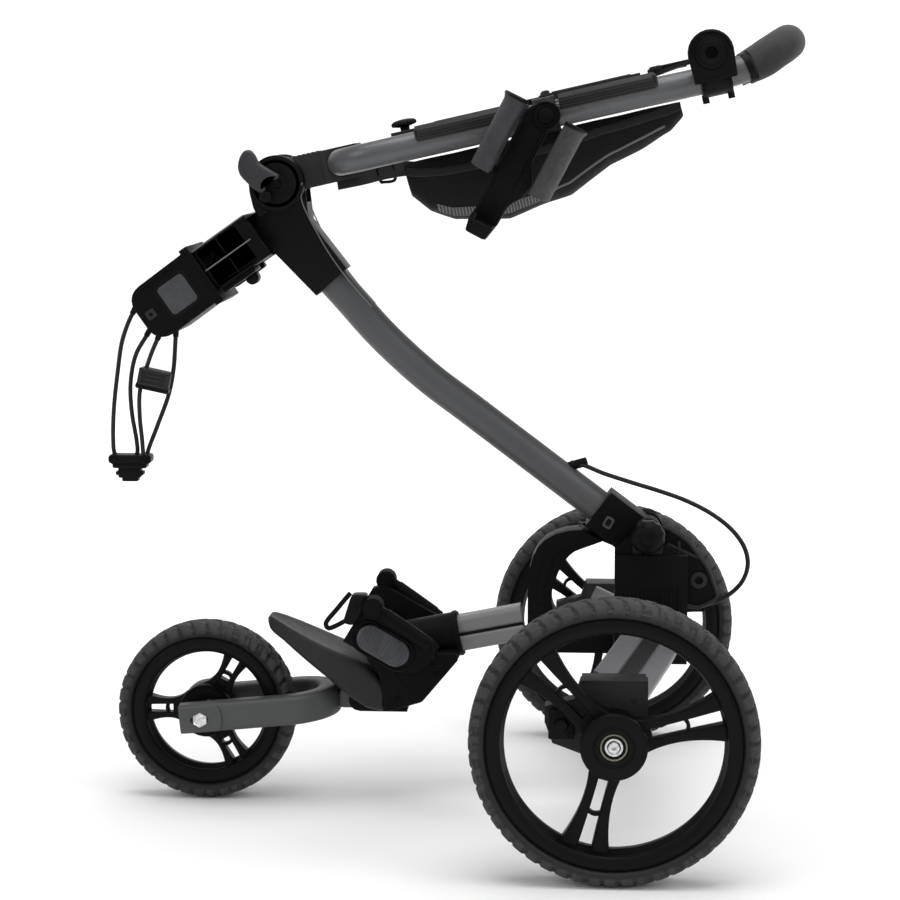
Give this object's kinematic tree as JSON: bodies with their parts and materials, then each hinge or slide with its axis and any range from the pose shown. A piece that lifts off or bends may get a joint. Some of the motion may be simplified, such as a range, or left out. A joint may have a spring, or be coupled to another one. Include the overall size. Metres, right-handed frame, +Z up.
{
  "type": "golf push cart",
  "caption": "Three-wheeled folding golf push cart with hinged main tube and handle, bag brackets, console, cup holder and basket, half folded.",
  "frame": {"origin": "bottom centre of the whole cart's box, on the ground it stands on", "axes": "+X towards the rear, where the rear wheels and the grip are; -X towards the front wheel; +Z up; -Y is the cart's left side, with the cup holder and the accessory mount"},
  "size_m": [0.756, 0.6378, 0.8617],
  "materials": {
    "tyre_rubber": "dull solid tyre rubber with a block tread",
    "black_plastic": "fine moulded grain, satin",
    "charcoal_plastic": "fine moulded grain, satin",
    "anodised_tube": "satin anodised grey",
    "steel": "turned, bright",
    "soft_rubber": "matt soft-touch",
    "foam": "closed-cell foam, matt",
    "basket_fabric": "woven polyester and mesh",
    "cord_fabric": "braided elastic cord",
    "cable_sleeve": "smooth cable sleeve"
  },
  "bodies": {
    "root": {"centre_housing": "black_plastic", "fold_pin": "steel", "arch_frame": "black_plastic", "base_tube": "anodised_tube", "lower_housing": "black_plastic", "bag_tongue": "charcoal_plastic", "fork_knuckle": "black_plastic", "rear_leg_left": "anodised_tube", "hub_carrier_left": "charcoal_plastic", "rear_axle_left": "steel", "brake_block_left": "black_plastic", "rear_leg_right": "anodised_tube", "hub_carrier_right": "charcoal_plastic", "rear_axle_right": "steel", "brake_block_right": "black_plastic", "brake_cable": "cable_sleeve"},
    "rear_wheel_left": {"rear_tyre_left": "tyre_rubber", "rear_rim_left": "black_plastic", "rear_hub_cap_left": "black_plastic", "rear_bearing_left": "steel"},
    "rear_wheel_right": {"rear_tyre_right": "tyre_rubber", "rear_rim_right": "black_plastic", "rear_hub_cap_right": "black_plastic", "rear_bearing_right": "steel"},
    "lock_knob": {"lock_knob": "black_plastic"},
    "main": {"main_tube": "anodised_tube", "main_socket": "charcoal_plastic", "joint_sleeve": "black_plastic", "joint_pin": "steel", "upper_beam": "black_plastic"},
    "cam_lever": {"cam_lever": "charcoal_plastic"},
    "saddle": {"upper_saddle": "black_plastic", "upper_pad_left": "soft_rubber", "upper_pad_right": "soft_rubber", "bungee_front": "cord_fabric", "bungee_rear": "cord_fabric", "cord_adjuster": "black_plastic", "cord_hook": "black_plastic"},
    "saddle_release": {"saddle_release": "black_plastic"},
    "wing_left": {"lower_wing_left": "black_plastic", "lower_pad_left": "soft_rubber", "cord_block": "black_plastic"},
    "wing_right": {"lower_wing_right": "black_plastic", "lower_pad_right": "soft_rubber"},
    "fork": {"front_fork": "anodised_tube", "front_axle": "steel"},
    "front_wheel": {"front_tyre": "tyre_rubber", "front_rim": "black_plastic"},
    "handle": {"handle_tube": "anodised_tube", "handle_yoke": "charcoal_plastic", "foam_grip": "foam", "console_tray": "charcoal_plastic", "accessory_mount": "black_plastic", "cup_clamp": "black_plastic", "basket": "basket_fabric"},
    "console_lid": {"console_lid": "charcoal_plastic"},
    "brake_knob": {"brake_knob": "black_plastic"},
    "cup": {"cup_body": "black_plastic"},
    "cup_jaw_front": {"cup_jaw_front": "soft_rubber"},
    "cup_jaw_rear": {"cup_jaw_rear": "soft_rubber"}
  },
  "joints": [
    {"name": "main_fold", "type": "hinge", "parent": "root", "child": "main", "pos_m": [0.216, 0, 0.31], "axis": [0, 1, 0], "range_deg": [0, 80], "deforming": ["brake_cable"]},
    {"name": "handle_fold", "type": "hinge", "parent": "main", "child": "handle", "pos_m": [-0.19, 0, 0.693], "axis": [0, -1, 0], "range_deg": [-22, 90]},
    {"name": "cam_lever_flip", "type": "hinge", "parent": "main", "child": "cam_lever", "pos_m": [-0.1953, -0.0394, 0.6713], "axis": [0.8518, 0, 0.5239], "range_deg": [0, 90]},
    {"name": "saddle_slide", "type": "slide", "parent": "main", "child": "saddle", "axis": [-0.8171, 0, -0.5764], "range_m": [0, 0.02]},
    {"name": "saddle_release_slide", "type": "slide", "parent": "main", "child": "saddle_release", "axis": [0.8171, 0, 0.5764], "range_m": [0, 0.006], "stiffness_N_per_m": 300},
    {"name": "lock_knob_turn", "type": "hinge", "parent": "root", "child": "lock_knob", "pos_m": [0.216, -0.045, 0.31], "axis": [0, 1, 0], "range_deg": [0, 90]},
    {"name": "rear_wheel_left_spin", "type": "hinge", "parent": "root", "child": "rear_wheel_left", "pos_m": [0.18, -0.2935, 0.146], "axis": [0, 1, 0], "continuous": true},
    {"name": "rear_wheel_right_spin", "type": "hinge", "parent": "root", "child": "rear_wheel_right", "pos_m": [0.18, 0.2935, 0.146], "axis": [0, 1, 0], "continuous": true},
    {"name": "fork_fold", "type": "hinge", "parent": "root", "child": "fork", "pos_m": [-0.104, 0, 0.117], "axis": [0, -1, 0], "range_deg": [0, 80]},
    {"name": "front_wheel_spin", "type": "hinge", "parent": "fork", "child": "front_wheel", "pos_m": [-0.278, 0, 0.101], "axis": [0, 1, 0], "continuous": true},
    {"name": "wing_left_swing", "type": "hinge", "parent": "root", "child": "wing_left", "pos_m": [-0.026, -0.0538, 0.184], "axis": [0.6805, 0, 0.7328], "range_deg": [0, 25]},
    {"name": "wing_right_swing", "type": "hinge", "parent": "root", "child": "wing_right", "pos_m": [-0.026, 0.0538, 0.184], "axis": [-0.6805, 0, -0.7328], "range_deg": [0, 25]},
    {"name": "cup_tilt", "type": "hinge", "parent": "handle", "child": "cup", "pos_m": [0.10396, -0.1118, 0.76591], "axis": [0, 1, 0], "range_deg": [-20, 20]},
    {"name": "cup_jaw_front_open", "type": "hinge", "parent": "cup", "child": "cup_jaw_front", "pos_m": [0.04712, -0.12, 0.71433], "axis": [0, -1, 0], "range_deg": [0, 12]},
    {"name": "cup_jaw_rear_open", "type": "hinge", "parent": "cup", "child": "cup_jaw_rear", "pos_m": [0.09431, -0.12, 0.68976], "axis": [0, 1, 0], "range_deg": [0, 12]},
    {"name": "console_lid_open", "type": "hinge", "parent": "handle", "child": "console_lid", "pos_m": [0.20164, 0, 0.81099], "axis": [0, 1, 0], "range_deg": [0, 100]},
    {"name": "brake_knob_turn", "type": "hinge", "parent": "handle", "child": "brake_knob", "pos_m": [-0.05231, 0, 0.75068], "axis": [-0.2198, 0, 0.9755], "range_deg": [0, 90]}
  ]
}
